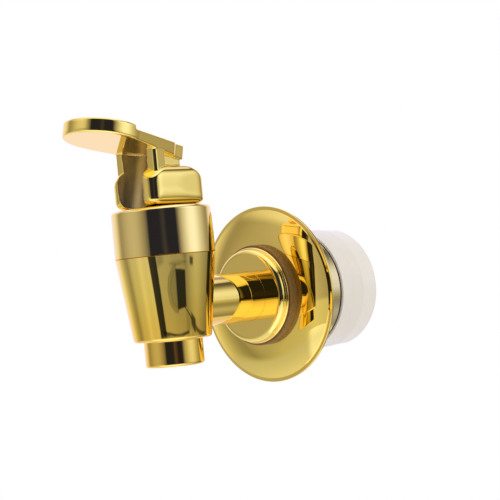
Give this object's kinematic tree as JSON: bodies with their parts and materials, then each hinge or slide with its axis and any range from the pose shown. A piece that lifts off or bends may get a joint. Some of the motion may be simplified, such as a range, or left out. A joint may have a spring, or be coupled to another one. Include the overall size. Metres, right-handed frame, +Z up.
{
  "type": "barrel tap",
  "caption": "Self-closing lever tap for a drinks barrel: tapered upright body with a spout, on a horizontal shank with a domed flange, gaskets and a lock nut.",
  "frame": {"origin": "on the shank axis, in the plane of the flange's rim, which bears on the barrel", "axes": "+Y along the shank into the barrel, +Z up, X = 0 is the middle plane of body and lever; the spout points down"},
  "size_m": [0.06, 0.1225, 0.0897],
  "materials": {
    "gold_plating": "bright gold mirror plating on moulded plastic",
    "bronze_ring": "satin brown gold",
    "silicone": "translucent silicone",
    "clear_nut": "frosted translucent plastic",
    "nylon": "natural nylon",
    "black_rubber": "black rubber",
    "stainless": "turned stainless steel"
  },
  "bodies": {
    "tap": {"tap_body": "gold_plating", "bonnet": "gold_plating", "bonnet_seal": "black_rubber", "stem_guide": "nylon", "stem_seal": "black_rubber", "spring_washer": "stainless", "collar": "gold_plating", "collar_ring": "bronze_ring", "flange": "gold_plating", "shank_seal_front": "black_rubber", "shank_seal_back": "black_rubber", "shank_clip": "stainless", "front_gasket": "silicone"},
    "valve_stem": {"stem": "stainless", "seat_plug": "silicone", "plug_plate": "stainless", "plug_screw": "stainless", "return_spring": "stainless", "hinge_pin": "stainless"},
    "press_lever": {"lever": "gold_plating"},
    "back_washer": {"back_gasket": "silicone"},
    "nut": {"lock_nut": "clear_nut"}
  },
  "joints": [
    {"name": "lever_tilt", "type": "hinge", "parent": "valve_stem", "child": "press_lever", "pos_m": [0, -0.0454, 0.038], "axis": [1, 0, 0], "range_deg": [0, 20], "stiffness_Nm_per_rad": 0.0324, "springref_deg": -76.38},
    {"name": "stem_lift", "type": "slide", "parent": "tap", "child": "valve_stem", "axis": [0, 0, 1], "range_m": [0, 0.0032], "deforming": ["return_spring"]},
    {"name": "nut_turn", "type": "hinge", "parent": "back_washer", "child": "nut", "pos_m": [0, 0.03, 0], "axis": [0, 1, 0], "range_deg": [0, 1080]},
    {"name": "nut_travel", "type": "slide", "parent": "tap", "child": "back_washer", "axis": [0, 1, 0], "range_m": [0, 0.0061]}
  ],
  "couplings": [
    {"joint": "stem_lift", "follows": "lever_tilt", "m_per_rad": 0.009},
    {"joint": "nut_travel", "follows": "nut_turn", "m_per_rad": 0.00031831}
  ]
}
